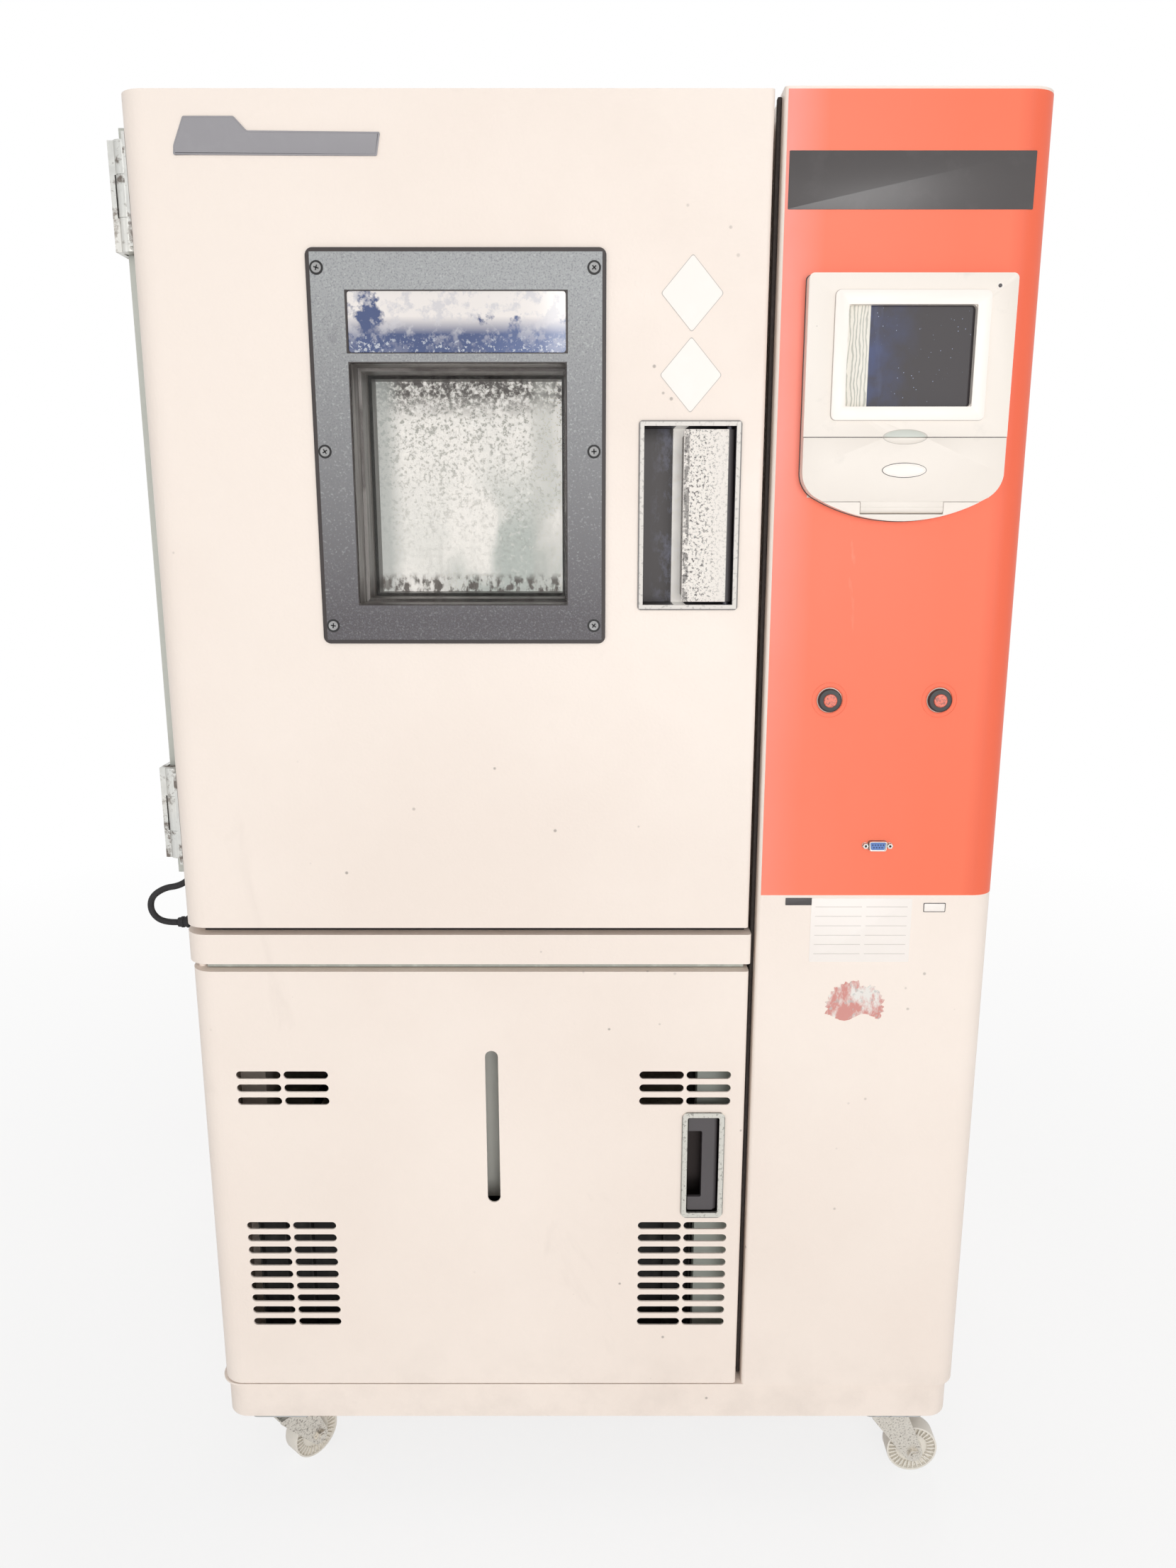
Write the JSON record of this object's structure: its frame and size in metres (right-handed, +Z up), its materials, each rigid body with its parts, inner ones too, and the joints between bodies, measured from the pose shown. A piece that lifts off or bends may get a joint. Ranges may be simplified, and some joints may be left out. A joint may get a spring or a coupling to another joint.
{
  "type": "environmental test chamber",
  "caption": "Upright cream environmental test chamber on castors, with a windowed door, a film-covered control cabinet and a vented lower door.",
  "frame": {"origin": "on the floor under the middle of the overall size, the free lead left out", "axes": "+Z up, +Y from the doors to the back, +X to the right as seen from the front"},
  "size_m": [0.9157, 1.022, 1.494],
  "materials": {
    "cream_paint": "satin",
    "galvanised_steel": "satin",
    "stainless_steel": "satin",
    "chrome": "polished",
    "aluminium": "satin",
    "insulation_foam": "matte",
    "foam_filled_panel": "satin",
    "black_plastic": "matte",
    "black_rubber": "matte",
    "white_plastic": "satin",
    "grey_plastic": "satin",
    "grey_frame": "textured",
    "seal_rubber": "matte",
    "clear_glass": "polished",
    "blue_glass": "polished",
    "screen_glass": "polished",
    "red_lens": "polished",
    "nylon": "satin",
    "tank_plastic": "satin",
    "copper_and_can": "satin"
  },
  "bodies": {
    "cabinet": {"base_frame": "cream_paint", "left_side_panel": "cream_paint", "roof_panel": "cream_paint", "rear_panel": "cream_paint", "partition_wall": "galvanised_steel", "control_front_cover": "cream_paint", "front_rail": "cream_paint", "chamber_insulation": "insulation_foam", "chamber_liner": "stainless_steel", "shelf_rails": "stainless_steel", "shelf": "stainless_steel", "air_baffle": "stainless_steel", "evaporator_coil": "aluminium", "heater_element": "stainless_steel", "blower_motor": "copper_and_can", "compressor": "copper_and_can", "condenser_coil": "aluminium", "condenser_shroud": "galvanised_steel", "water_tank": "tank_plastic", "electrical_panel": "grey_plastic", "controller_bezel": "white_plastic", "lcd_screen": "screen_glass", "button_bezels": "black_plastic", "comm_port": "black_plastic", "cable_port": "stainless_steel", "drain_spigot": "stainless_steel", "hinge_brackets": "galvanised_steel", "door_lead": "black_rubber", "lead_gland": "black_rubber", "castor_plates": "galvanised_steel"},
    "main_door": {"door_skin": "cream_paint", "door_inner_panel": "foam_filled_panel", "door_gasket": "seal_rubber", "window_frame": "grey_frame", "window_tunnel": "black_plastic", "window_glass": "clear_glass", "lamp_panel": "blue_glass", "chamber_lamp": "white_plastic", "door_handle_housing": "stainless_steel", "door_hinge_leaves": "galvanised_steel", "door_cable_channel": "grey_plastic"},
    "lever": {"door_lever": "chrome"},
    "latch": {"door_latch_bolt": "stainless_steel"},
    "lower_door": {"service_door": "cream_paint", "service_latch_housing": "stainless_steel"},
    "lower_lever": {"service_latch_lever": "black_plastic"},
    "flap": {"controller_flap": "white_plastic"},
    "light_key": {"light_button": "red_lens"},
    "power_key": {"power_button": "red_lens"},
    "port_plug": {"cable_port_plug": "black_rubber"},
    "blower": {"blower_wheel": "stainless_steel"},
    "fan": {"condenser_fan": "black_plastic"},
    "fork_front_left": {"castor_fork_front_left": "galvanised_steel"},
    "wheel_front_left": {"castor_wheel_front_left": "nylon"},
    "fork_front_right": {"castor_fork_front_right": "galvanised_steel"},
    "wheel_front_right": {"castor_wheel_front_right": "nylon"},
    "fork_rear_left": {"castor_fork_rear_left": "galvanised_steel"},
    "wheel_rear_left": {"castor_wheel_rear_left": "nylon"},
    "fork_rear_right": {"castor_fork_rear_right": "galvanised_steel"},
    "wheel_rear_right": {"castor_wheel_rear_right": "nylon"}
  },
  "joints": [
    {"name": "main_door_hinge", "type": "hinge", "parent": "cabinet", "child": "main_door", "pos_m": [-0.4245, -0.442, 1.09525], "axis": [0, 0, -1], "range_deg": [0, 110]},
    {"name": "door_lever_pivot", "type": "hinge", "parent": "main_door", "child": "lever", "pos_m": [0.1499, -0.483, 1.118], "axis": [0, 0, 1], "range_deg": [0, 35], "stiffness_Nm_per_rad": 0.8, "springref_deg": -8.59},
    {"name": "latch_slide", "type": "slide", "parent": "main_door", "child": "latch", "axis": [1, 0, 0], "range_m": [-0.006, 0]},
    {"name": "service_door_hinge", "type": "hinge", "parent": "cabinet", "child": "lower_door", "pos_m": [-0.3985, -0.474, 0.397], "axis": [0, 0, -1], "range_deg": [0, 110]},
    {"name": "service_lever_pivot", "type": "hinge", "parent": "lower_door", "child": "lower_lever", "pos_m": [0.1521, -0.486, 0.42315], "axis": [0, 0, 1], "range_deg": [0, 35], "stiffness_Nm_per_rad": 0.3, "springref_deg": -8.59},
    {"name": "flap_hinge", "type": "hinge", "parent": "cabinet", "child": "flap", "pos_m": [0.31265, -0.505, 1.1255], "axis": [1, 0, 0], "range_deg": [0, 95]},
    {"name": "light_key_press", "type": "slide", "parent": "cabinet", "child": "light_key", "axis": [0, 1, 0], "range_m": [0, 0.0025], "stiffness_N_per_m": 200, "springref_m": -0.001},
    {"name": "power_key_press", "type": "slide", "parent": "cabinet", "child": "power_key", "axis": [0, 1, 0], "range_m": [0, 0.0025], "stiffness_N_per_m": 200, "springref_m": -0.001},
    {"name": "port_plug_slide", "type": "slide", "parent": "cabinet", "child": "port_plug", "axis": [-1, 0, 0], "range_m": [0, 0.06]},
    {"name": "blower_spin", "type": "hinge", "parent": "cabinet", "child": "blower", "pos_m": [-0.1105, 0.176, 1.258], "axis": [0, 1, 0], "continuous": true},
    {"name": "condenser_fan_spin", "type": "hinge", "parent": "cabinet", "child": "fan", "pos_m": [-0.104, -0.369, 0.26], "axis": [0, 1, 0], "continuous": true},
    {"name": "castor_swivel_front_left", "type": "hinge", "parent": "cabinet", "child": "fork_front_left", "pos_m": [-0.3445, -0.456, 0.082], "axis": [0, 0, 1], "continuous": true},
    {"name": "castor_roll_front_left", "type": "hinge", "parent": "fork_front_left", "child": "wheel_front_left", "pos_m": [-0.32443, -0.43371, 0.03], "axis": [-0.7431, 0.6691, 0], "continuous": true},
    {"name": "castor_swivel_front_right", "type": "hinge", "parent": "cabinet", "child": "fork_front_right", "pos_m": [0.3715, -0.456, 0.082], "axis": [0, 0, 1], "continuous": true},
    {"name": "castor_roll_front_right", "type": "hinge", "parent": "fork_front_right", "child": "wheel_front_right", "pos_m": [0.4015, -0.456, 0.03], "axis": [0, 1, 0], "continuous": true},
    {"name": "castor_swivel_rear_left", "type": "hinge", "parent": "cabinet", "child": "fork_rear_left", "pos_m": [-0.3445, 0.448, 0.082], "axis": [0, 0, 1], "continuous": true},
    {"name": "castor_roll_rear_left", "type": "hinge", "parent": "fork_rear_left", "child": "wheel_rear_left", "pos_m": [-0.34971, 0.47754, 0.03], "axis": [-0.9848, -0.1736, 0], "continuous": true},
    {"name": "castor_swivel_rear_right", "type": "hinge", "parent": "cabinet", "child": "fork_rear_right", "pos_m": [0.3715, 0.448, 0.082], "axis": [0, 0, 1], "continuous": true},
    {"name": "castor_roll_rear_right", "type": "hinge", "parent": "fork_rear_right", "child": "wheel_rear_right", "pos_m": [0.38077, 0.47653, 0.03], "axis": [-0.9511, 0.309, 0], "continuous": true}
  ],
  "couplings": [
    {"joint": "latch_slide", "follows": "door_lever_pivot", "m_per_rad": -0.0085}
  ]
}
